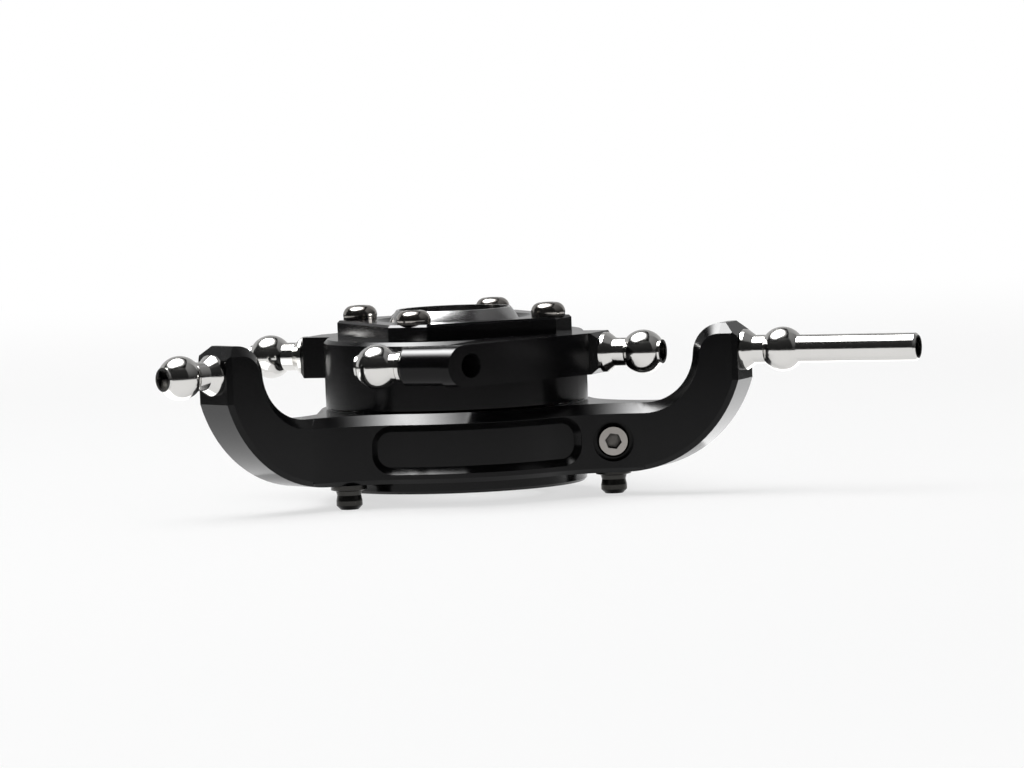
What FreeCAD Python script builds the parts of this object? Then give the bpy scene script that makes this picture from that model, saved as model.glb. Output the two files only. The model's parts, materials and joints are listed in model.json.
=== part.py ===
import FreeCAD, Part
import math
import os

from FreeCAD import Placement, Rotation, Vector

# Swashplate of a large model helicopter.  Millimetres.
# Origin: centre of the uniball, on the mast axis.  +Z: up the mast.  +Y: the rear arm.
# The lower body doesn't rotate.  The star turns with the mast, on two ball bearings.

# ---- joint balls and their studs
BALL_R = 2.4
BALL_PLANE = -0.15           # height of every joint ball's centre
BALL_RIM_R = 1.3             # raised rim on the end of a ball, round its hex socket
BALL_RIM_END = 2.25          # from the ball's centre to the face of the rim
BALL_SOCKET_AF = 1.9
SOCKET_DEPTH = 1.5
NECK_R = 1.55
COLLAR_R = 2.2
COLLAR_EDGE = 0.4            # straight part of a collar, against its seat
COLLAR_LENGTH = 1.3          # with the cone that runs down to the neck
STUD_THREAD_R = 1.5
STUD_THREAD_LENGTH = 4.0
THREAD_GAP = 0.02            # radial room round a stud or screw in its hole
THREAD_END_GAP = 0.1         # room past the end of a thread

# ---- lower body: three arms, 120 degrees apart
ARM_ANGLES = {"rear": 90, "left": 210, "right": 330}
FLANK_ANGLES = (150, 270, 30)
ARM_HALF_WIDTH = 2.9
ARM_END = 33.5               # flat face that the ball stud seats on
ARM_TOP = 2.9
ARM_END_FOOT = -3.3          # where the round underside meets the end face
ARM_UNDER_START = 20.1       # where the flat underside starts to curve up
ARM_THROAT = (22.6, 0.0)     # centre of the hollow between arm and star
ARM_THROAT_R = 5.6
ARM_SHOULDER_R = 3.4
ARM_TIP_CHAMFER = 1.4
ARM_SUNK = 2.0               # how far an arm runs into the hub
TOP_CHAMFER = 1.1
OUTER_CHAMFER = 0.5
ARM_BALL_R = 37.9            # ball centres, from the mast axis

BODY_TOP = -5.6
BODY_BOTTOM = -13.1
HUB_R = 16.0
ROOT_FILLET = 10.0           # sweep between hub and arm, seen from above
FOOT_R = 14.0                # turned foot under the hub
FOOT_BOTTOM = -14.4
FOOT_CHAMFER = 0.3
BODY_BORE_R = 12.4           # inside the lip under the lower bearing

PANEL_TOP = -6.75            # mouth of the recessed panel on each flank of the hub
PANEL_BOTTOM = -12.1
PANEL_HALF_WIDTH = 11.5
PANEL_DEPTH = 1.0
PANEL_CORNER = 2.2
PANEL_BEVEL = 0.75           # slope between its mouth and its floor

PIN_R = 1.5                  # anti-rotation pin
PIN_TIP = 53.2
PIN_CHAMFER = 0.25
PIN_SOCKET_AF = 2.0

# ---- posts under the arm roots, and the screws that clamp them
POST_ALONG = 17.2
POST_ASIDE = 2.05
POST_FLANGE_R = 1.95
POST_FLANGE = 0.5
POST_FLANGE_SLOPE = 0.15
POST_R = 1.42
POST_WAIST_R = 1.3
POST_WAIST = 0.6             # from the flange to the waist, and from there to the full width
POST_CHAMFER = 0.45
POST_BOTTOM = -15.75
POST_TOP = -8.0
CLAMP_ALONG = 19.3
CLAMP_ASIDE = -3.45
CLAMP_Z = -9.7
CLAMP_BORE_R = 2.2
CLAMP_HEAD_R = 1.75
CLAMP_HEAD = 1.8
CLAMP_SUNK = 0.45
CLAMP_SHANK_R = 0.95
CLAMP_EDGE = 0.2
CLAMP_END_GAP = 0.05         # between a clamp screw's tip and its post
CLAMP_SOCKET_AF = 1.6

# ---- two thin bearings, stacked
BEARING_R_IN = 10.0
BEARING_R_OUT = 13.5
BEARING_WIDTH = 4.0
BEARING_TOP = -6.1
BEARING_BALL_R = 1.0
BEARING_BALLS = 16
RACE_GAP = 0.03              # running room of the bearing balls
INNER_LAND_R = 11.05
OUTER_LAND_R = 12.45
SHIELD_SEAT_R = 12.65
SHIELD_R_IN = 11.2
SHIELD_THICK = 0.25
CAGE_R_IN = 11.3
CAGE_R_OUT = 12.2
CAGE_HALF_HEIGHT = 1.25
SNAP_RING_R_IN = 12.75
SNAP_RING_R_OUT = 13.9
SNAP_RING_TOP = -5.65
SEAT_GAP = 0.02              # slip between a race and its seat

# ---- star
STAR_TURN = -32              # the star's own x axis at rest, from +X
STAR_R = 14.4
STAR_TOP = 2.1
STAR_BOTTOM = -5.35
STAR_EDGE = 0.4
LUG_TOP = 2.1
LUG_BOTTOM = -2.4
LUG_NOSE = 20.1              # centre of the round nose, past the driver stud's axis
GRIP_END = 17.7
GRIP_HALF_WIDTH = 2.7
GRIP_CHAMFER = 0.6
GRIP_BALL_R = 22.2
DRIVER_OFFSET = 19.2         # driver stud axis, from the mast axis
DRIVER_BALL = -1.0           # driver ball centre, along the stud axis
DRIVER_STUB_END = 2.0
DRIVER_STUB_R = 2.15
DRIVER_STUB_CHAMFER = 0.5
DRIVER_COLLAR_R = 1.65
DRIVER_WEB = 7.5             # inner face of the lug
DRIVER_HOLE_R = 1.3
DRIVER_THREAD_LENGTH = 5.0
LUG_FACE = ((9.93, -19.2), (16.95, -2.7))
TUBE_R_IN = 8.6
TUBE_BOTTOM = -14.6
SHOULDER_R = 11.2
SHIM_THICK = 0.3
LOCK_RING_R_IN = 9.5
LOCK_RING_R_OUT = 11.2
LOCK_RING_THICK = 0.35

# ---- uniball and its liners
MAST_R = 6.0
UNIBALL_R = 8.0
UNIBALL_HALF = 4.95
LINER_R = 8.05
LINER_R_OUT = 9.4
LINER_BOTTOM = -4.2

# ---- top plate and its screws
PLATE_HALF = 10.8
PLATE_CORNER = 13.0          # cut corners, from the mast axis
PLATE_TOP = 3.9
PLATE_MOUTH_BOTTOM = 8.05    # the mouth narrows upward over the ball, then opens in a countersink
PLATE_MOUTH_WAIST = 7.3
PLATE_MOUTH_TOP = 8.6
PLATE_COUNTERSINK = 0.5
PLATE_EDGE = 0.25
PLATE_SCREW_CIRCLE = 11.2
PLATE_SCREW_TURNS = (0, 90, 180, 270)
BUTTON_R = 1.85
BUTTON_RIM = 0.25            # straight edge under the dome of a button head
BUTTON_HEIGHT = 1.5
BUTTON_FLAT_R = 0.95
BUTTON_SOCKET_AF = 1.25
BUTTON_SOCKET_DEPTH = 0.8
SCREW_R = 1.0
SCREW_END = -2.9

PAST = 1.0                   # how far a cutter runs past a face, or a piece into the one it joins
TINY = 1e-6                  # for picking edges by their place

os.makedirs("parts", exist_ok=True)


# ---- small helpers

def save(name, shape):
    """Write one sub-part and say how big it is."""
    solid = shape.removeSplitter()
    solid.exportStep("parts/" + name + ".step")
    print(name, len(solid.Solids), round(solid.Volume, 2), solid.isValid())


def cut(shape, *tools):
    """Take each tool away in turn."""
    for tool in tools:
        shape = shape.cut(tool)
    return shape


def join(shape, *others):
    """Fuse the shapes into one solid without seams."""
    for other in others:
        shape = shape.fuse(other)
    return shape.removeSplitter()


def arc(centre, radius, start, middle, end):
    """Arc in the profile plane, through three angles in degrees."""
    points = []
    for angle in (start, middle, end):
        turn = math.radians(angle)
        points.append(Vector(centre[0] + radius * math.cos(turn), 0, centre[1] + radius * math.sin(turn)))
    return Part.Arc(*points).toShape()


def line(start, end):
    """Straight edge in the profile plane."""
    return Part.LineSegment(Vector(start[0], 0, start[1]), Vector(end[0], 0, end[1])).toShape()


def face_of(edges):
    """Planar face bounded by edges that meet end to end."""
    return Part.Face(Part.Wire(Part.__sortEdges__(edges)))


def polygon_face(points):
    """Planar face in the profile plane, from (across, up) points."""
    corners = [Vector(across, 0, up) for across, up in points]
    return Part.Face(Part.makePolygon(corners + corners[:1]))


def turned(face):
    """Full turn of a profile about the Z axis."""
    return face.revolve(Vector(0, 0, 0), Vector(0, 0, 1), 360)


def turned_points(points):
    """Full turn of a straight-sided profile."""
    return turned(polygon_face(points))


def ring(r_in, r_out, bottom, top):
    """Flat ring with square edges."""
    return turned_points([(r_in, bottom), (r_out, bottom), (r_out, top), (r_in, top)])


def rod(radius, bottom, top):
    """Plain cylinder on the Z axis."""
    return Part.makeCylinder(radius, top - bottom, Vector(0, 0, bottom))


def hexagon(across_flats, bottom, top):
    """Hexagonal prism on the Z axis."""
    reach = across_flats / math.sqrt(3)
    corners = [Vector(reach * math.cos(math.radians(60 * i)), reach * math.sin(math.radians(60 * i)), bottom)
               for i in range(7)]
    return Part.Face(Part.makePolygon(corners)).extrude(Vector(0, 0, top - bottom))


def spun(shape, degrees):
    """Copy of a shape, turned about the mast axis."""
    copy = shape.copy()
    copy.rotate(Vector(0, 0, 0), Vector(0, 0, 1), degrees)
    return copy


def laid_along(shape, place, direction):
    """Copy of a shape made on the Z axis, moved to a place and pointed in a direction."""
    copy = shape.copy()
    copy.Placement = Placement(place, Rotation(Vector(0, 0, 1), direction))
    return copy


def heading(degrees):
    """Level unit vector."""
    return Vector(math.cos(math.radians(degrees)), math.sin(math.radians(degrees)), 0)


def spot(angle, along, aside, up=0.0):
    """Point at a distance along an arm and to its anticlockwise side."""
    return heading(angle) * along + heading(angle + 90) * aside + Vector(0, 0, up)


# ---- ball studs, made on the Z axis with the ball's centre at the origin

def stud_profile(reach, collar_r, thread_length, thread_r):
    """Edges of the neck, coned collar and thread, from the ball down to the axis."""
    ball_meets = -math.sqrt(BALL_R ** 2 - NECK_R ** 2)
    edge = -reach + COLLAR_EDGE
    cone = edge + (COLLAR_LENGTH - COLLAR_EDGE) * (collar_r - NECK_R) / (COLLAR_R - NECK_R)
    end = -reach - thread_length
    corners = [(NECK_R, ball_meets), (NECK_R, cone), (collar_r, edge), (collar_r, -reach),
               (thread_r, -reach), (thread_r, end), (0, end)]
    return [line(*pair) for pair in zip(corners, corners[1:])], ball_meets


def ball_stud(reach, collar_r=COLLAR_R, thread_length=STUD_THREAD_LENGTH, thread_r=STUD_THREAD_R):
    """Joint ball with a rimmed hex socket; reach is from its centre to the seat of the collar."""
    edges, ball_meets = stud_profile(reach, collar_r, thread_length, thread_r)
    rim_meets = math.sqrt(BALL_R ** 2 - BALL_RIM_R ** 2)
    low = math.degrees(math.asin(ball_meets / BALL_R))
    high = math.degrees(math.asin(rim_meets / BALL_R))
    edges.append(arc((0, 0), BALL_R, low, 0, high))
    edges.append(line((BALL_RIM_R, rim_meets), (BALL_RIM_R, BALL_RIM_END)))
    edges.append(line((BALL_RIM_R, BALL_RIM_END), (0, BALL_RIM_END)))
    edges.append(line((0, BALL_RIM_END), (0, -reach - thread_length)))
    stud = turned(face_of(edges))
    return stud.cut(hexagon(BALL_SOCKET_AF, BALL_RIM_END - SOCKET_DEPTH, BALL_RIM_END + PAST))


def pin_stud(reach):
    """Joint ball whose shaft runs on outward as the anti-rotation pin."""
    edges, ball_meets = stud_profile(reach, COLLAR_R, STUD_THREAD_LENGTH, STUD_THREAD_R)
    tip = PIN_TIP - ARM_BALL_R
    pin_meets = math.sqrt(BALL_R ** 2 - PIN_R ** 2)
    low = math.degrees(math.asin(ball_meets / BALL_R))
    high = math.degrees(math.asin(pin_meets / BALL_R))
    edges.append(arc((0, 0), BALL_R, low, 0, high))
    edges.append(line((PIN_R, pin_meets), (PIN_R, tip - PIN_CHAMFER)))
    edges.append(line((PIN_R, tip - PIN_CHAMFER), (PIN_R - PIN_CHAMFER, tip)))
    edges.append(line((PIN_R - PIN_CHAMFER, tip), (0, tip)))
    edges.append(line((0, tip), (0, -reach - STUD_THREAD_LENGTH)))
    pin = turned(face_of(edges))
    return pin.cut(hexagon(PIN_SOCKET_AF, tip - SOCKET_DEPTH, tip + PAST))


# ---- lower body

def arm_edges():
    """Side outline of one arm: out along X, up along Z."""
    foot_rise = ARM_END_FOOT - BODY_BOTTOM
    run = ARM_END - ARM_UNDER_START
    under_r = (run ** 2 + foot_rise ** 2) / (2 * foot_rise)
    under = (ARM_UNDER_START, BODY_BOTTOM + under_r)
    under_end = math.degrees(math.atan2(ARM_END_FOOT - under[1], run))
    shoulder_z = ARM_TOP - ARM_SHOULDER_R
    shoulder_x = ARM_THROAT[0] + math.sqrt((ARM_THROAT_R + ARM_SHOULDER_R) ** 2 - shoulder_z ** 2)
    meet = math.degrees(math.atan2(shoulder_z, shoulder_x - ARM_THROAT[0]))
    inner = HUB_R - ARM_SUNK
    return [
        line((inner, BODY_BOTTOM), (ARM_UNDER_START, BODY_BOTTOM)),
        arc(under, under_r, -90, (under_end - 90) / 2, under_end),
        line((ARM_END, ARM_END_FOOT), (ARM_END, ARM_TOP)),
        line((ARM_END, ARM_TOP), (shoulder_x, ARM_TOP)),
        arc((shoulder_x, shoulder_z), ARM_SHOULDER_R, 90, 135 + meet / 2, 180 + meet),
        arc(ARM_THROAT, ARM_THROAT_R, meet, (meet - 90) / 2, -90),
        line((ARM_THROAT[0], BODY_TOP), (inner, BODY_TOP)),
        line((inner, BODY_TOP), (inner, BODY_BOTTOM))]


def arm():
    """One arm along +X, its edges chamfered: wide along the top, narrow round the outside."""
    face = face_of(arm_edges())
    face.translate(Vector(0, -ARM_HALF_WIDTH, 0))
    blank = face.extrude(Vector(0, 2 * ARM_HALF_WIDTH, 0))
    inner_edges = []
    outer_edges = []
    for edge in blank.Edges:
        middle = edge.CenterOfMass
        on_side = abs(abs(middle.y) - ARM_HALF_WIDTH) < TINY
        if not on_side or middle.x < HUB_R - ARM_SUNK + TINY:
            continue
        is_under_arc = edge.Curve.TypeId == "Part::GeomCircle" and edge.Curve.Radius > 2 * ARM_THROAT_R
        if is_under_arc or middle.x > ARM_END - TINY or middle.z < BODY_BOTTOM + TINY:
            outer_edges.append(edge)
        else:
            inner_edges.append(edge)
    solid = blank.makeChamfer(TOP_CHAMFER, inner_edges).common(blank.makeChamfer(OUTER_CHAMFER, outer_edges))
    tip = polygon_face([(ARM_END + PAST, ARM_TOP - ARM_TIP_CHAMFER - PAST), (ARM_END + PAST, ARM_TOP + PAST),
                        (ARM_END - ARM_TIP_CHAMFER - PAST, ARM_TOP + PAST)])
    tip.translate(Vector(0, -2 * ARM_HALF_WIDTH, 0))
    return solid.cut(tip.extrude(Vector(0, 4 * ARM_HALF_WIDTH, 0)))


def hub_outline(shrink=0.0):
    """Hub circle swept into three arm roots, seen from above, as a face at z = 0."""
    fillet = ROOT_FILLET + shrink
    aside = ARM_HALF_WIDTH + ROOT_FILLET
    along = math.sqrt((HUB_R + ROOT_FILLET) ** 2 - aside ** 2)
    tilt = math.degrees(math.atan2(aside, along))
    edges = []
    for angle in ARM_ANGLES.values():
        side = ARM_HALF_WIDTH - shrink
        corners = []
        for sign in (-1, 1):
            centre = spot(angle, along, sign * aside)
            root = spot(angle, along, sign * side)
            tangent = heading(angle + sign * tilt) * (HUB_R - shrink)
            toward = (root - centre).normalize() + (tangent - centre).normalize()
            middle = centre + toward.normalize() * fillet
            edges.append(Part.Arc(tangent, middle, root).toShape())
            corners.append(root)
        edges.append(Part.LineSegment(*corners).toShape())
        start = heading(angle + tilt) * (HUB_R - shrink)
        end = heading(angle + 120 - tilt) * (HUB_R - shrink)
        edges.append(Part.Arc(start, heading(angle + 60) * (HUB_R - shrink), end).toShape())
    return Part.Face(Part.Wire(Part.__sortEdges__(edges)))


def hub():
    """Hub with its arm roots, chamfered above and below."""
    face = hub_outline()
    face.translate(Vector(0, 0, BODY_BOTTOM))
    solid = face.extrude(Vector(0, 0, BODY_TOP - BODY_BOTTOM))
    top = [edge for edge in solid.Edges if abs(edge.CenterOfMass.z - BODY_TOP) < TINY]
    solid = solid.makeChamfer(TOP_CHAMFER, top)
    bottom = [edge for edge in solid.Edges if abs(edge.CenterOfMass.z - BODY_BOTTOM) < TINY]
    return solid.makeChamfer(OUTER_CHAMFER, bottom)


def panel_recess():
    """Cutter for the shallow recess in the flank that faces +X, with sloped walls round its floor."""
    height = PANEL_TOP - PANEL_BOTTOM
    floor = hub_outline(PANEL_DEPTH)
    floor.translate(Vector(0, 0, PANEL_BOTTOM - PAST))
    core = spun(floor.extrude(Vector(0, 0, height + 2 * PAST)), -FLANK_ANGLES[0])
    window = Part.makeBox(2 * HUB_R, 2 * PANEL_HALF_WIDTH, height, Vector(0, -PANEL_HALF_WIDTH, PANEL_BOTTOM))
    corners = [edge for edge in window.Edges if abs(edge.CenterOfMass.x - HUB_R) < TINY
               and abs(abs(edge.CenterOfMass.y) - PANEL_HALF_WIDTH) < TINY]
    recess = window.makeFillet(PANEL_CORNER, corners).cut(core)
    round_floor = [edge for edge in recess.Edges if edge.CenterOfMass.x < HUB_R
                   and abs(edge.Length - height) > TINY]
    return recess.makeChamfer(PANEL_BEVEL, round_floor)


def clamp_axis(angle):
    """Mouth and inward direction of a clamp screw, which points at its post."""
    mouth = spot(angle, CLAMP_ALONG, CLAMP_ASIDE, CLAMP_Z)
    target = spot(angle, POST_ALONG, POST_ASIDE, CLAMP_Z)
    return mouth, (target - mouth).normalize(), (target - mouth).Length


def under_arc_trim():
    """Space under the round underside of an arm, where the hub's root mustn't reach."""
    low = BODY_BOTTOM - 2
    edges = arm_edges()[1:2]
    edges.append(line((ARM_UNDER_START, BODY_BOTTOM), (ARM_UNDER_START, low)))
    edges.append(line((ARM_UNDER_START, low), (ARM_END, low)))
    edges.append(line((ARM_END, low), (ARM_END, ARM_END_FOOT)))
    face = face_of(edges)
    face.translate(Vector(0, -3 * ARM_HALF_WIDTH, 0))
    return face.extrude(Vector(0, 6 * ARM_HALF_WIDTH, 0))


def lower_body():
    """Hub, foot and arms, bored for the bearings, studs, posts and clamp screws."""
    bearing_bottom = BEARING_TOP - 2 * BEARING_WIDTH
    foot = turned_points([
        (0, BODY_BOTTOM + PAST), (FOOT_R, BODY_BOTTOM + PAST), (FOOT_R, FOOT_BOTTOM + FOOT_CHAMFER),
        (FOOT_R - FOOT_CHAMFER, FOOT_BOTTOM), (0, FOOT_BOTTOM)])
    root = hub()
    trim = under_arc_trim()
    root = cut(root, *[spun(trim, angle) for angle in ARM_ANGLES.values()])
    one_arm = arm()
    body = join(root, foot, *[spun(one_arm, angle) for angle in ARM_ANGLES.values()])
    body = cut(body,
               rod(BODY_BORE_R, FOOT_BOTTOM - PAST, BODY_TOP + PAST),
               rod(BEARING_R_OUT, bearing_bottom, BODY_TOP + PAST),
               rod(SNAP_RING_R_OUT, BEARING_TOP, BODY_TOP + PAST))
    recess = panel_recess()
    body = cut(body, *[spun(recess, angle) for angle in FLANK_ANGLES])
    stud_hole = rod(STUD_THREAD_R + THREAD_GAP, -STUD_THREAD_LENGTH - THREAD_END_GAP, PAST)
    post_hole = rod(POST_R + THREAD_GAP, BODY_BOTTOM - PAST, POST_TOP + THREAD_END_GAP)
    for angle in ARM_ANGLES.values():
        body = body.cut(laid_along(stud_hole, spot(angle, ARM_END, 0, BALL_PLANE), heading(angle)))
        body = body.cut(post_hole.translated(spot(angle, POST_ALONG, POST_ASIDE)))
        mouth, inward, length = clamp_axis(angle)
        bore = rod(CLAMP_BORE_R, -2 * CLAMP_BORE_R, CLAMP_SUNK + CLAMP_HEAD)
        drill = rod(CLAMP_SHANK_R + THREAD_GAP, 0, length - POST_R)
        body = cut(body, laid_along(bore, mouth, inward), laid_along(drill, mouth, inward))
    return body


def post():
    """Short post with a flange against the underside; top inside the arm root."""
    flange_end = BODY_BOTTOM - POST_FLANGE
    return turned_points([
        (0, POST_TOP), (POST_R, POST_TOP), (POST_R, BODY_BOTTOM), (POST_FLANGE_R, BODY_BOTTOM),
        (POST_FLANGE_R, flange_end), (POST_R, flange_end - POST_FLANGE_SLOPE),
        (POST_WAIST_R, flange_end - POST_WAIST), (POST_R, flange_end - 2 * POST_WAIST),
        (POST_R, POST_BOTTOM + POST_CHAMFER), (POST_R - POST_CHAMFER, POST_BOTTOM), (0, POST_BOTTOM)])


def clamp_screw(length):
    """Socket cap screw that points along +Z, its head sunk a little behind z = 0."""
    head_end = CLAMP_SUNK + CLAMP_HEAD
    tip = length - POST_R - CLAMP_END_GAP
    screw = turned_points([
        (0, CLAMP_SUNK), (CLAMP_HEAD_R - CLAMP_EDGE, CLAMP_SUNK), (CLAMP_HEAD_R, CLAMP_SUNK + CLAMP_EDGE),
        (CLAMP_HEAD_R, head_end), (CLAMP_SHANK_R, head_end), (CLAMP_SHANK_R, tip - CLAMP_EDGE),
        (CLAMP_SHANK_R - CLAMP_EDGE, tip), (0, tip)])
    return screw.cut(hexagon(CLAMP_SOCKET_AF, CLAMP_SUNK - PAST, CLAMP_SUNK + SOCKET_DEPTH))


# ---- bearings

def bearing_middle(level):
    """Height of the ball circle; level 0 is the upper bearing."""
    return BEARING_TOP - BEARING_WIDTH * (level + 0.5)


def ball_track(middle):
    """Torus that the balls run in, with their running room."""
    pitch = (BEARING_R_IN + BEARING_R_OUT) / 2
    return Part.makeTorus(pitch, BEARING_BALL_R + RACE_GAP, Vector(0, 0, middle))


def outer_race(level):
    """Outer race with its ball groove and the seat for its shield."""
    middle = bearing_middle(level)
    half = BEARING_WIDTH / 2
    race = ring(OUTER_LAND_R, BEARING_R_OUT - SEAT_GAP, middle - half, middle + half)
    outward = 1 if level == 0 else -1
    seat_low = middle + outward * half - (SHIELD_THICK if outward > 0 else 0)
    seat = rod(SHIELD_SEAT_R, seat_low, seat_low + SHIELD_THICK)
    return cut(race, ball_track(middle), seat)


def inner_race(level):
    """Inner race with its ball groove."""
    middle = bearing_middle(level)
    half = BEARING_WIDTH / 2
    race = ring(BEARING_R_IN + SEAT_GAP, INNER_LAND_R, middle - half, middle + half)
    return race.cut(ball_track(middle))


def bearing_shield(level):
    """Thin shield in the outward side of the outer race."""
    outward = 1 if level == 0 else -1
    face = bearing_middle(level) + outward * BEARING_WIDTH / 2
    low, high = sorted((face, face - outward * SHIELD_THICK))
    return ring(SHIELD_R_IN, SHIELD_SEAT_R - SEAT_GAP, low, high)


def ball_places(level):
    """Centres of one bearing's balls."""
    pitch = (BEARING_R_IN + BEARING_R_OUT) / 2
    return [heading(360 * i / BEARING_BALLS) * pitch + Vector(0, 0, bearing_middle(level))
            for i in range(BEARING_BALLS)]


def bearing_balls(level):
    """One ring of balls, as separate solids."""
    return Part.makeCompound([Part.makeSphere(BEARING_BALL_R, place) for place in ball_places(level)])


def bearing_cage(level):
    """Cage ring with a round pocket for each ball."""
    middle = bearing_middle(level)
    cage = ring(CAGE_R_IN, CAGE_R_OUT, middle - CAGE_HALF_HEIGHT, middle + CAGE_HALF_HEIGHT)
    for index, place in enumerate(ball_places(level)):
        pocket = rod(BEARING_BALL_R + RACE_GAP, -2, 2)
        cage = cage.cut(laid_along(pocket, place, heading(360 * index / BEARING_BALLS)))
    return cage


# ---- star, made with its grip bosses along X and then turned to its place

def on_screw_circle(shape):
    """Copies of a shape at the places of the top plate's screws."""
    return [shape.translated(heading(turn) * PLATE_SCREW_CIRCLE) for turn in PLATE_SCREW_TURNS]


def lug_and_boss():
    """Driver lug and grip boss on one side: bar with a round nose, cut by the slanted face."""
    thick = LUG_TOP - LUG_BOTTOM
    along_x = Vector(1, 0, 0)
    web = Part.makeBox(GRIP_END - DRIVER_WEB, LUG_NOSE + GRIP_HALF_WIDTH, thick,
                       Vector(DRIVER_WEB, -LUG_NOSE, LUG_BOTTOM))
    nose = Part.makeCylinder(thick / 2, GRIP_END - DRIVER_WEB,
                             Vector(DRIVER_WEB, -LUG_NOSE, (LUG_TOP + LUG_BOTTOM) / 2), along_x)
    bar = join(web, nose)
    start, end = LUG_FACE
    slope = (end[0] - start[0]) / (end[1] - start[1])
    low_y = -2 * STAR_R
    beyond = 4 * STAR_R
    corners = [(start[0] + slope * (low_y - start[1]), low_y), (beyond, low_y), (beyond, end[1]), end]
    outline = [Vector(x, y, LUG_BOTTOM - PAST) for x, y in corners]
    slice_off = Part.Face(Part.makePolygon(outline + outline[:1]))
    bar = bar.cut(slice_off.extrude(Vector(0, 0, thick + 2 * PAST)))
    ends = [edge for edge in bar.Edges if abs(edge.CenterOfMass.x - GRIP_END) < TINY]
    return bar.makeChamfer(GRIP_CHAMFER, ends)


def driver_stub():
    """Round boss between the lug and the driver stud, chamfered where the stud seats."""
    length = DRIVER_WEB - DRIVER_STUB_END + PAST
    stub = turned_points([
        (0, 0), (DRIVER_STUB_R - DRIVER_STUB_CHAMFER, 0), (DRIVER_STUB_R, DRIVER_STUB_CHAMFER),
        (DRIVER_STUB_R, length), (0, length)])
    return laid_along(stub, Vector(DRIVER_STUB_END, -DRIVER_OFFSET, BALL_PLANE), Vector(1, 0, 0))


def star():
    """Drum with lugs and bosses, bored for the uniball, with the tube that the bearings sit on."""
    bearing_bottom = BEARING_TOP - 2 * BEARING_WIDTH
    drum = turned_points([
        (0, STAR_BOTTOM), (STAR_R, STAR_BOTTOM), (STAR_R, STAR_TOP - STAR_EDGE),
        (STAR_R - STAR_EDGE, STAR_TOP), (0, STAR_TOP)])
    tube = rod(BEARING_R_IN, TUBE_BOTTOM, STAR_BOTTOM + PAST)
    shoulder = rod(SHOULDER_R, BEARING_TOP + SHIM_THICK, STAR_BOTTOM + PAST)
    side = lug_and_boss()
    stub = driver_stub()
    solid = join(drum, tube, shoulder, side, stub, spun(side, 180), spun(stub, 180))
    groove = ring(LOCK_RING_R_IN, BEARING_R_IN + PAST, bearing_bottom - LOCK_RING_THICK, bearing_bottom)
    solid = cut(solid, rod(TUBE_R_IN, TUBE_BOTTOM - PAST, STAR_TOP + PAST),
                rod(LINER_R_OUT, LINER_BOTTOM, STAR_TOP + PAST), groove)
    grip_hole = rod(STUD_THREAD_R + THREAD_GAP, -STUD_THREAD_LENGTH - THREAD_END_GAP, PAST)
    grip = laid_along(grip_hole, Vector(GRIP_END, 0, BALL_PLANE), Vector(1, 0, 0))
    driver_hole = rod(DRIVER_HOLE_R + THREAD_GAP, -PAST, 3 * DRIVER_WEB)
    driver = laid_along(driver_hole, Vector(DRIVER_STUB_END, -DRIVER_OFFSET, BALL_PLANE), Vector(1, 0, 0))
    solid = cut(solid, grip, driver, spun(grip, 180), spun(driver, 180))
    screw_hole = rod(SCREW_R + THREAD_GAP, SCREW_END - THREAD_END_GAP, STAR_TOP + PAST)
    return cut(solid, *on_screw_circle(screw_hole))


def on_star(shape):
    """Turn a piece made in the star's own frame to its place at rest."""
    return spun(shape, STAR_TURN)


def race_liner(upper):
    """Half of the plastic race round the uniball."""
    bottom, top = (0.0, STAR_TOP) if upper else (LINER_BOTTOM, 0.0)
    blank = rod(LINER_R_OUT - SEAT_GAP, bottom, top)
    return cut(blank, Part.makeSphere(LINER_R))


def uniball():
    """Ball with flat ends, bored for the mast."""
    ball = Part.makeSphere(UNIBALL_R)
    slab = rod(2 * UNIBALL_R, -UNIBALL_HALF, UNIBALL_HALF)
    return cut(ball.common(slab), rod(MAST_R, -2 * UNIBALL_R, 2 * UNIBALL_R))


# ---- top plate

def top_plate():
    """Square plate with cut corners and a countersunk mouth that holds the uniball down."""
    thick = PLATE_TOP - STAR_TOP
    square = Part.makeBox(2 * PLATE_HALF, 2 * PLATE_HALF, thick, Vector(-PLATE_HALF, -PLATE_HALF, STAR_TOP))
    keep = Part.makeBox(2 * PLATE_CORNER, 2 * PLATE_CORNER, thick,
                        Vector(-PLATE_CORNER, -PLATE_CORNER, STAR_TOP))
    plate = spun(square, 45).common(keep)
    rim = [edge for edge in plate.Edges if abs(edge.CenterOfMass.z - PLATE_TOP) < TINY]
    plate = plate.makeChamfer(PLATE_EDGE, rim)
    waist = PLATE_TOP - PLATE_COUNTERSINK
    mouth = Part.makeCone(PLATE_MOUTH_BOTTOM, PLATE_MOUTH_WAIST, waist - STAR_TOP, Vector(0, 0, STAR_TOP))
    countersink = Part.makeCone(PLATE_MOUTH_WAIST, PLATE_MOUTH_TOP, PLATE_COUNTERSINK, Vector(0, 0, waist))
    hole = rod(SCREW_R + THREAD_GAP, STAR_TOP - PAST, PLATE_TOP + PAST)
    return cut(plate, mouth, countersink, *on_screw_circle(hole))


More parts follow.
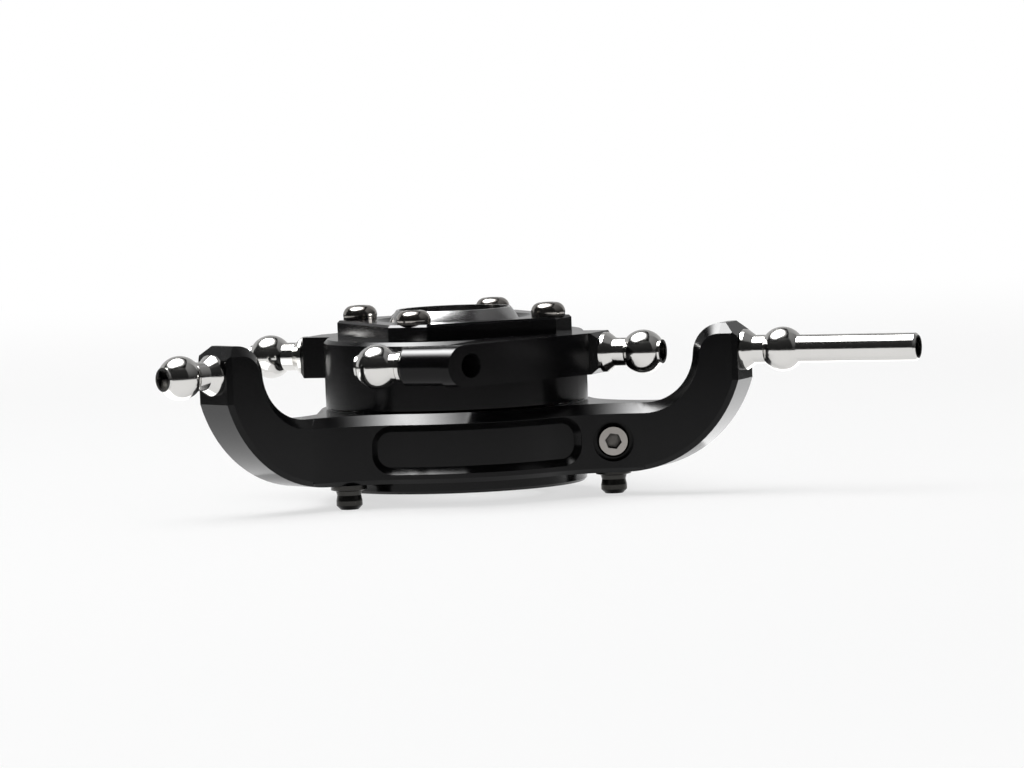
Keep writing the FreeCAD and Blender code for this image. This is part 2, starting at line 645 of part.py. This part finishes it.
def button_screw():
    """Button-head screw, seated on the plate."""
    crown = PLATE_TOP + BUTTON_HEIGHT
    rim = PLATE_TOP + BUTTON_RIM
    chord_r = (BUTTON_R + BUTTON_FLAT_R) / 2
    swell = (crown - rim) / 4
    dome = Part.Arc(Vector(BUTTON_R, 0, rim),
                    Vector(chord_r + swell, 0, (rim + crown) / 2 + swell / 2),
                    Vector(BUTTON_FLAT_R, 0, crown)).toShape()
    corners = [(BUTTON_FLAT_R, crown), (0, crown), (0, SCREW_END), (SCREW_R, SCREW_END),
               (SCREW_R, PLATE_TOP), (BUTTON_R, PLATE_TOP), (BUTTON_R, rim)]
    edges = [dome] + [line(*pair) for pair in zip(corners, corners[1:])]
    return turned(face_of(edges)).cut(hexagon(BUTTON_SOCKET_AF, crown - BUTTON_SOCKET_DEPTH, crown + PAST))


# ---- write every piece

def write_lower():
    """The pieces that don't rotate."""
    save("lower_body", lower_body())
    reach = ARM_BALL_R - ARM_END
    for name in ("rear", "left"):
        angle = ARM_ANGLES[name]
        place = spot(angle, ARM_BALL_R, 0, BALL_PLANE)
        save(name + "_ball_stud", laid_along(ball_stud(reach), place, heading(angle)))
    angle = ARM_ANGLES["right"]
    place = spot(angle, ARM_BALL_R, 0, BALL_PLANE)
    save("antirotation_pin", laid_along(pin_stud(reach), place, heading(angle)))
    posts = []
    screws = []
    for angle in ARM_ANGLES.values():
        mouth, inward, length = clamp_axis(angle)
        posts.append(post().translated(spot(angle, POST_ALONG, POST_ASIDE)))
        screws.append(laid_along(clamp_screw(length), mouth, inward))
    save("arm_root_posts", Part.makeCompound(posts))
    save("post_clamp_screws", Part.makeCompound(screws))
    save("bearing_snap_ring", ring(SNAP_RING_R_IN, SNAP_RING_R_OUT - SEAT_GAP, BEARING_TOP, SNAP_RING_TOP))


def write_bearings():
    """Both bearings, piece by piece."""
    for level, name in enumerate(("upper", "lower")):
        save(name + "_bearing_outer_race", outer_race(level))
        save(name + "_bearing_inner_race", inner_race(level))
        save(name + "_bearing_shield", bearing_shield(level))
        save(name + "_bearing_balls", bearing_balls(level))
        save(name + "_bearing_cage", bearing_cage(level))


def write_star():
    """The pieces that turn with the mast."""
    save("star", on_star(star()))
    grip = laid_along(ball_stud(GRIP_BALL_R - GRIP_END), Vector(GRIP_BALL_R, 0, BALL_PLANE), Vector(1, 0, 0))
    save("right_grip_ball_stud", on_star(grip))
    save("left_grip_ball_stud", on_star(spun(grip, 180)))
    reach = DRIVER_STUB_END - DRIVER_BALL
    driver = laid_along(ball_stud(reach, DRIVER_COLLAR_R, DRIVER_THREAD_LENGTH, DRIVER_HOLE_R),
                        Vector(DRIVER_BALL, -DRIVER_OFFSET, BALL_PLANE), Vector(-1, 0, 0))
    save("front_driver_ball_stud", on_star(driver))
    save("rear_driver_ball_stud", on_star(spun(driver, 180)))
    save("top_plate", on_star(top_plate()))
    save("top_plate_screws", on_star(Part.makeCompound(on_screw_circle(button_screw()))))
    save("upper_race_liner", race_liner(True))
    save("lower_race_liner", race_liner(False))
    save("bearing_shim", ring(BEARING_R_IN + SEAT_GAP, SHOULDER_R, BEARING_TOP, BEARING_TOP + SHIM_THICK))
    bearing_bottom = BEARING_TOP - 2 * BEARING_WIDTH
    save("bearing_lock_ring", ring(LOCK_RING_R_IN + SEAT_GAP, LOCK_RING_R_OUT,
                                   bearing_bottom - LOCK_RING_THICK, bearing_bottom))
    save("uniball", uniball())


write_lower()
write_bearings()
write_star()
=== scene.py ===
import json
import math

import bpy
from mathutils import Matrix, Vector

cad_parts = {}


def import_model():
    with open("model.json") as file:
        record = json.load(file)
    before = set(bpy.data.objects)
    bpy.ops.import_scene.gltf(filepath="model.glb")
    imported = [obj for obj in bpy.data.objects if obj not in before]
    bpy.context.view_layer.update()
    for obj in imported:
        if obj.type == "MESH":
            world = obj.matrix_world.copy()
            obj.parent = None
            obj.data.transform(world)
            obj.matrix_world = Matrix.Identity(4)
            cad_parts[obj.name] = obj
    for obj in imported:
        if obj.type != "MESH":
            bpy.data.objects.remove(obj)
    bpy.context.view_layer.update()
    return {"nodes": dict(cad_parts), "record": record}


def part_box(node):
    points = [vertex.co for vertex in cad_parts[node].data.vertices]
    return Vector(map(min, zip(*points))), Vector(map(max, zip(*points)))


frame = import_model()
NODES = frame["nodes"]
SCENE = bpy.context.scene

# Lengths are in metres and angles in degrees. A heading is counted from +X, about the mast axis.

# ---- camera: where it looks from, and how the picture frames the mast axis
VIEW_AZIMUTH = -9.49         # from straight along +Y
VIEW_ELEVATION = 3.66
VIEW_ROLL = 2.24
VIEW_DISTANCE = 0.8
SENSOR_WIDTH = 36.0          # in millimetres, as the lens is
LENS = 256.1
AIM_RIGHT = 0.0061           # the camera points this far to the right of the uniball's centre
AIM_BELOW = 0.00366          # and this far below it
CAMERA_HEADING = VIEW_AZIMUTH - 90
NEAR_CLIP = 0.01
FAR_CLIP = 100

# ---- surface detail: scales of noise, per metre, and heights of relief
BLAST_GRAIN = 9000
BLAST_HEIGHT = 0.0000012
DYE_PATCHES = 260
SMEARS = 420
LAPPING = 5200
LAPPING_HEIGHT = 0.0000003
TURNED_SMEARS = 500
TURNED_HEIGHT = 0.0000012
MOULD_GRAIN = 3000
MOULD_HEIGHT = 0.000002
# Polished steel gets painted shade in its sockets, creases and corners, found by ambient occlusion.
SOCKET_REACH = 0.0012        # how far round a point its openness is judged
SOCKET_CLOSED = 0.45         # openness up to which polished steel shows only painted shade
SOCKET_OPEN = 0.75           # openness from which the painted shade is gone
PAINTED_SHADE = 0.06             # brightness of the painted shade in sockets and creases, as a share of the steel's

# ---- floor, world and lamp
FLOOR_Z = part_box("arm_root_posts")[0].z
FLOOR_WIDTH = 16.0
WHITE_NEAR = 0.65            # share of the floor's look near the object that is plain white
WHITE_NEAR_R = 0.15          # the share grows from here
WHITE_FAR_R = 0.45           # and is whole from here on
MATT_WORLD = 0.5             # strength of the world on matt surfaces
LAMP_PLACE = (-0.2, -0.03, 0.62)
LAMP_SIZE = (0.6, 0.75)
LAMP_POWER = 4.0

# ---- reflection cards: a dome, a bright face overhead, and sheets on the floor
DOME_R = 2.2
DOME_FOOT = -0.3             # elevations of the dome's bands
DOME_WAIST = 45
DOME_SHOULDER = 72
DOME_TOP = 90
DOME_LEVELS = 8
CARD_STEPS = 24
ALL_ROUND = (-275, 85)
CAMERA_FLANK = (-215, -50)
PIN_FLANK = (-50, 25)
REAR_FLANK = (25, 145)
BEHIND = (CAMERA_HEADING + 105, CAMERA_HEADING + 255)    # behind the part, as the camera sees it
OVERHEAD_PLACE = (-0.2, 0.12, 0.62)
OVERHEAD_WIDTH = 1.0
OVERHEAD_STRENGTH = 40.0
RIM_FADE = 5.0               # how fast the overhead face dims from its middle to its rim
SHEET_LIFT = 0.0004
GLINT_LIFT = 2 * SHEET_LIFT  # the right glint lies over the back sheet


# ---- node helpers

def empty_tree(owner, output_kind="ShaderNodeOutputMaterial"):
    """Nodes of a material or world, emptied; gives the tree and the socket of its surface."""
    owner.use_nodes = True
    tree = owner.node_tree
    tree.nodes.clear()
    return tree, tree.nodes.new(output_kind).inputs["Surface"]


def new_material(name):
    """Material with one Principled shader."""
    material = bpy.data.materials.new(name)
    tree, surface = empty_tree(material)
    shader = tree.nodes.new("ShaderNodeBsdfPrincipled")
    tree.links.new(shader.outputs["BSDF"], surface)
    return material, tree, shader


def feed(tree, value, socket):
    """Link a node's output to a socket, or set the socket to a plain value."""
    if isinstance(value, bpy.types.NodeSocket):
        tree.links.new(value, socket)
    else:
        socket.default_value = value


def object_place(tree, stretch=(1, 1, 1)):
    """Object coordinates, in metres unless stretched."""
    place = tree.nodes.new("ShaderNodeTexCoord")
    mapping = tree.nodes.new("ShaderNodeMapping")
    mapping.inputs["Scale"].default_value = stretch
    tree.links.new(place.outputs["Object"], mapping.inputs["Vector"])
    return mapping.outputs["Vector"]


def split_place(tree):
    """Object coordinates as X, Y and Z outputs."""
    split = tree.nodes.new("ShaderNodeSeparateXYZ")
    tree.links.new(object_place(tree), split.inputs["Vector"])
    return split.outputs


def noise(tree, scale, detail, roughness=0.5, stretch=(1, 1, 1)):
    """Noise value, 0 to 1."""
    node = tree.nodes.new("ShaderNodeTexNoise")
    node.inputs["Scale"].default_value = scale
    node.inputs["Detail"].default_value = detail
    node.inputs["Roughness"].default_value = roughness
    tree.links.new(object_place(tree, stretch), node.inputs["Vector"])
    return node.outputs["Fac"]


def maths(tree, operation, first, second):
    """Result of one sum on values or sockets."""
    node = tree.nodes.new("ShaderNodeMath")
    node.operation = operation
    feed(tree, first, node.inputs[0])
    feed(tree, second, node.inputs[1])
    return node.outputs[0]


def spread(tree, value, target, source=(0.0, 1.0), interpolation="LINEAR"):
    """Map a value from its source range to a target range."""
    node = tree.nodes.new("ShaderNodeMapRange")
    node.interpolation_type = interpolation
    node.inputs["From Min"].default_value = source[0]
    node.inputs["From Max"].default_value = source[1]
    node.inputs["To Min"].default_value = target[0]
    node.inputs["To Max"].default_value = target[1]
    tree.links.new(value, node.inputs["Value"])
    return node.outputs["Result"]


def shade(colour, share=1.0):
    """Colour with its alpha, dimmed to a share of its brightness."""
    return (*(share * part for part in colour), 1.0)


def between(tree, value, dark, light):
    """Colour that runs from dark to light with the value."""
    node = tree.nodes.new("ShaderNodeMix")
    node.data_type = "RGBA"
    feed(tree, dark, node.inputs["A"])
    feed(tree, light, node.inputs["B"])
    tree.links.new(value, node.inputs["Factor"])
    return node.outputs["Result"]


def blend(tree, value, first, second, surface):
    """Surface that is the first shader where the value is 0 and the second where it is 1."""
    mix = tree.nodes.new("ShaderNodeMixShader")
    tree.links.new(value, mix.inputs[0])
    tree.links.new(first.outputs[0], mix.inputs[1])
    tree.links.new(second.outputs[0], mix.inputs[2])
    tree.links.new(mix.outputs[0], surface)


def relief(tree, shader, value, height):
    """Bumps of this height, where the value runs from 0 to 1."""
    node = tree.nodes.new("ShaderNodeBump")
    node.inputs["Distance"].default_value = height
    node.inputs["Strength"].default_value = 1.0
    tree.links.new(value, node.inputs["Height"])
    tree.links.new(node.outputs["Normal"], shader.inputs["Normal"])


def openness(tree):
    """How open a point is: 1 on open faces, near 0 deep in a socket."""
    node = tree.nodes.new("ShaderNodeAmbientOcclusion")
    node.samples = 8
    node.inputs["Distance"].default_value = SOCKET_REACH
    return node.outputs["AO"]


def seen_directly(tree):
    """1 for rays of the camera, of reflections and of transmission; 0 for rays that light matt surfaces."""
    rays = tree.nodes.new("ShaderNodeLightPath")
    shown = maths(tree, "MAXIMUM", rays.outputs["Is Camera Ray"], rays.outputs["Is Glossy Ray"])
    return maths(tree, "MAXIMUM", shown, rays.outputs["Is Transmission Ray"])


# ---- materials of the part

def black_anodised():
    """Black anodised aluminium: satin, with a fine blasted grain and a slightly uneven dye."""
    material, tree, shader = new_material("black_anodised_dressed")
    grain = noise(tree, BLAST_GRAIN, detail=2.0)
    dye = noise(tree, DYE_PATCHES, detail=4.0)
    colour = between(tree, dye, shade((0.002, 0.002, 0.0023)), shade((0.0036, 0.0036, 0.0039)))
    tree.links.new(colour, shader.inputs["Base Color"])
    tree.links.new(spread(tree, dye, (0.15, 0.2)), shader.inputs["Roughness"])
    shader.inputs["Specular IOR Level"].default_value = 0.2
    relief(tree, shader, grain, BLAST_HEIGHT)
    return material


def polished_steel(name, colour, roughness):
    """Polished hardened steel with faint lapping marks and smears, and painted shade down in its sockets,
    creases and corners.
    """
    material, tree, shader = new_material(name)
    smear = noise(tree, SMEARS, detail=5.0, roughness=0.6)
    lapping = noise(tree, LAPPING, detail=2.0, stretch=(1, 1, 6))
    bare = between(tree, smear, shade(colour, 0.93), shade(colour))
    # Painted shade: the colour darkens where ambient occlusion finds a socket, crease or corner.
    clear = spread(tree, openness(tree), (0.0, 1.0), (SOCKET_CLOSED, SOCKET_OPEN))
    tree.links.new(between(tree, clear, shade(colour, PAINTED_SHADE), bare), shader.inputs["Base Color"])
    tree.links.new(spread(tree, smear, roughness), shader.inputs["Roughness"])
    shader.inputs["Metallic"].default_value = 1.0
    relief(tree, shader, lapping, LAPPING_HEIGHT)
    return material


def turned_metal(name, colour, grooves, roughness):
    """Metal turned on a lathe about the mast axis: fine rings, at a scale per metre, and a little smear."""
    material, tree, shader = new_material(name)
    rings = tree.nodes.new("ShaderNodeTexWave")
    rings.wave_type = "BANDS"
    rings.bands_direction = "Z"
    rings.inputs["Scale"].default_value = grooves
    rings.inputs["Distortion"].default_value = 0.6
    rings.inputs["Detail"].default_value = 2.0
    tree.links.new(object_place(tree), rings.inputs["Vector"])
    smear = noise(tree, TURNED_SMEARS, detail=4.0)
    tree.links.new(between(tree, smear, shade(colour, 0.9), shade(colour)), shader.inputs["Base Color"])
    tree.links.new(spread(tree, smear, (0.8 * roughness, 1.25 * roughness)), shader.inputs["Roughness"])
    shader.inputs["Metallic"].default_value = 1.0
    relief(tree, shader, rings.outputs["Fac"], TURNED_HEIGHT)
    return material


def liner_plastic():
    """Dark moulded acetal."""
    material, tree, shader = new_material("liner_plastic_dressed")
    grain = noise(tree, MOULD_GRAIN, detail=3.0)
    colour = between(tree, grain, shade((0.02, 0.02, 0.022)), shade((0.035, 0.035, 0.037)))
    tree.links.new(colour, shader.inputs["Base Color"])
    tree.links.new(spread(tree, grain, (0.4, 0.55)), shader.inputs["Roughness"])
    relief(tree, shader, grain, MOULD_HEIGHT)
    return material


def dress(materials):
    """Give every CAD node the dressed material of its slot."""
    for part in frame["record"]["subparts"]:
        for slot in NODES[part["node"]].material_slots:
            slot.material = materials[part["material_slot"]]


# ---- stage

def stage_mesh(name, verts, faces, material, place=(0, 0, 0)):
    """Mesh that belongs to the stage and not to the part."""
    mesh = bpy.data.meshes.new(name)
    mesh.from_pydata(verts, [], faces)
    mesh.materials.append(material)
    obj = bpy.data.objects.new(name, mesh)
    obj.location = place
    SCENE.collection.objects.link(obj)
    return obj


def level_square(width):
    """Corners of a level square about its own origin."""
    half = width / 2
    return [(-half, -half, 0), (half, -half, 0), (half, half, 0), (-half, half, 0)]


def floor():
    """Matt floor that the posts stand on. It looks white, and that white lights no matt surface."""
    material = bpy.data.materials.new("floor_white")
    tree, surface = empty_tree(material)
    matt = tree.nodes.new("ShaderNodeBsdfPrincipled")
    matt.inputs["Base Color"].default_value = shade((0.86, 0.86, 0.86))
    matt.inputs["Roughness"].default_value = 0.9
    matt.inputs["Specular IOR Level"].default_value = 0.0
    reach = tree.nodes.new("ShaderNodeVectorMath")
    reach.operation = "LENGTH"
    tree.links.new(object_place(tree), reach.inputs[0])
    share = spread(tree, reach.outputs["Value"], (WHITE_NEAR, 1.0), (WHITE_NEAR_R, WHITE_FAR_R), "SMOOTHSTEP")
    white = tree.nodes.new("ShaderNodeEmission")
    white.inputs["Strength"].default_value = 1.0
    blend(tree, maths(tree, "MULTIPLY", share, seen_directly(tree)), matt, white, surface)
    stage_mesh("floor", level_square(FLOOR_WIDTH), [(0, 1, 2, 3)], material, (0, 0, FLOOR_Z))


def glow_material(name):
    """White emission; gives the material, its tree and the socket of its strength."""
    material = bpy.data.materials.new(name)
    tree, surface = empty_tree(material)
    light = tree.nodes.new("ShaderNodeEmission")
    tree.links.new(light.outputs["Emission"], surface)
    return material, tree, light.inputs["Strength"]


def reflection_card(name, verts, faces, material, place=(0, 0, 0)):
    """Card that only shows in reflections."""
    obj = stage_mesh(name, verts, faces, material, place)
    obj.visible_camera = False
    obj.visible_shadow = False
    obj.visible_diffuse = False
    obj.visible_transmission = False


def curved_card(name, rows, material):
    """Reflection card through rows of points."""
    count = len(rows[0])
    faces = []
    for first in range(0, count * (len(rows) - 1), count):
        for corner in range(first, first + count - 1):
            faces.append((corner, corner + 1, corner + count + 1, corner + count))
    reflection_card(name, [point for row in rows for point in row], faces, material)


def angles(limits, steps):
    """Even steps between two angles, in radians."""
    start, end = limits
    return [math.radians(start + (end - start) * step / steps) for step in range(steps + 1)]


def dome_card(name, headings, elevations, glow):
    """Part of the dome, with its glow at the lower and the upper edge."""
    rows = []
    for rise in angles(elevations, DOME_LEVELS):
        across = DOME_R * math.cos(rise)
        up = DOME_R * math.sin(rise)
        rows.append([(across * math.cos(turn), across * math.sin(turn), up)
                     for turn in angles(headings, CARD_STEPS)])
    material, tree, strength = glow_material(name)
    low_z = rows[0][0][2]
    high_z = rows[-1][0][2]
    tree.links.new(spread(tree, split_place(tree)["Z"], glow, (low_z, high_z)), strength)
    curved_card(name, rows, material)


def floor_sheet(name, headings, reaches, glow, lift=SHEET_LIFT):
    """Part of a ring a hair above the floor, between two distances from the mast axis."""
    rows = [[(reach * math.cos(turn), reach * math.sin(turn), FLOOR_Z + lift) for reach in reaches]
            for turn in angles(headings, CARD_STEPS)]
    material, _, strength = glow_material(name)
    strength.default_value = glow
    curved_card(name, rows, material)


def overhead_card():
    """Bright face of the overhead softbox, as polished parts see it: it dims towards its rim."""
    material, tree, strength = glow_material("overhead_face")
    place = split_place(tree)
    fades = []
    for axis in "XY":
        off = maths(tree, "DIVIDE", place[axis], OVERHEAD_WIDTH / 2)
        fades.append(maths(tree, "SUBTRACT", 1.0, maths(tree, "MULTIPLY", off, off)))
    dimming = maths(tree, "POWER", maths(tree, "MULTIPLY", *fades), RIM_FADE)
    tree.links.new(maths(tree, "MULTIPLY", dimming, OVERHEAD_STRENGTH), strength)
    reflection_card("overhead_face", level_square(OVERHEAD_WIDTH), [(0, 1, 2, 3)], material, OVERHEAD_PLACE)


def softbox():
    """Large lamp overhead that lights the matt surfaces."""
    lamp = bpy.data.lights.new("overhead", "AREA")
    lamp.shape = "RECTANGLE"
    lamp.size, lamp.size_y = LAMP_SIZE
    lamp.energy = LAMP_POWER
    obj = bpy.data.objects.new("overhead", lamp)
    obj.location = LAMP_PLACE
    obj.rotation_euler = (-Vector(LAMP_PLACE)).to_track_quat("-Z", "Y").to_euler()
    obj.visible_glossy = False
    SCENE.collection.objects.link(obj)


def world():
    """White surroundings to the camera and in reflections, softer light on matt surfaces."""
    SCENE.world = bpy.data.worlds.new("studio")
    tree, surface = empty_tree(SCENE.world, "ShaderNodeOutputWorld")
    lit = tree.nodes.new("ShaderNodeBackground")
    lit.inputs["Strength"].default_value = MATT_WORLD
    shown = tree.nodes.new("ShaderNodeBackground")
    shown.inputs["Strength"].default_value = 1.0
    blend(tree, seen_directly(tree), lit, shown, surface)


def camera():
    """Camera at the viewing angle, with the mast axis a little left of the middle."""
    azimuth = math.radians(VIEW_AZIMUTH)
    elevation = math.radians(VIEW_ELEVATION)
    roll = math.radians(VIEW_ROLL)
    forward = Vector((-math.sin(azimuth) * math.cos(elevation), math.cos(azimuth) * math.cos(elevation),
                      -math.sin(elevation)))
    level = Vector((math.cos(azimuth), math.sin(azimuth), 0))
    upright = level.cross(forward)
    place = level * AIM_RIGHT - upright * AIM_BELOW - forward * VIEW_DISTANCE
    right = level * math.cos(roll) - upright * math.sin(roll)
    up = level * math.sin(roll) + upright * math.cos(roll)
    lens = bpy.data.cameras.new("camera")
    lens.sensor_width = SENSOR_WIDTH
    lens.lens = LENS
    lens.clip_start = NEAR_CLIP
    lens.clip_end = FAR_CLIP
    obj = bpy.data.objects.new("camera", lens)
    turn = Matrix((right, up, -forward)).transposed().to_4x4()
    obj.matrix_world = Matrix.Translation(place) @ turn
    SCENE.collection.objects.link(obj)
    SCENE.camera = obj


camera()
world()
floor()
dome_card("dark_flats", CAMERA_FLANK, (DOME_FOOT, DOME_WAIST), glow=(0.012, 0.03))
dome_card("upper_flats", CAMERA_FLANK, (DOME_WAIST, DOME_SHOULDER), glow=(0.03, 0.14))
dome_card("side_flats", PIN_FLANK, (DOME_FOOT, DOME_SHOULDER), glow=(0.012, 0.3))
dome_card("grey_flats", REAR_FLANK, (DOME_FOOT, DOME_SHOULDER), glow=(0.6, 0.3))
dome_card("grey_roof", ALL_ROUND, (DOME_SHOULDER, DOME_TOP), glow=(0.3, 0.35))
floor_sheet("far_sheet", ALL_ROUND, reaches=(0.17, DOME_R), glow=0.03)
floor_sheet("back_sheet", BEHIND, reaches=(0.02, 0.15), glow=1.05)
floor_sheet("right_glint", (-12, 38), reaches=(0.03, 0.07), glow=2.4, lift=GLINT_LIFT)
floor_sheet("left_glint", (165, 205), reaches=(0.025, 0.06), glow=2.0, lift=GLINT_LIFT)
overhead_card()
softbox()
dress({
    "black_anodised": black_anodised(),
    "polished_steel": polished_steel("polished_steel_dressed", (0.74, 0.73, 0.71), (0.1, 0.14)),
    "screw_steel": polished_steel("screw_steel_dressed", (0.36, 0.34, 0.32), (0.12, 0.17)),
    "dark_steel": polished_steel("dark_steel_dressed", (0.06, 0.058, 0.055), (0.25, 0.35)),
    "bearing_steel": turned_metal("bearing_steel_dressed", (0.6, 0.6, 0.61), grooves=9000, roughness=0.2),
    "cage_brass": turned_metal("cage_brass_dressed", (0.65, 0.45, 0.2), grooves=7000, roughness=0.3),
    "uniball_silver": turned_metal("uniball_silver_dressed", (0.36, 0.36, 0.36), grooves=8000, roughness=0.2),
    "liner_plastic": liner_plastic(),
})
SCENE.view_settings.view_transform = "Standard"
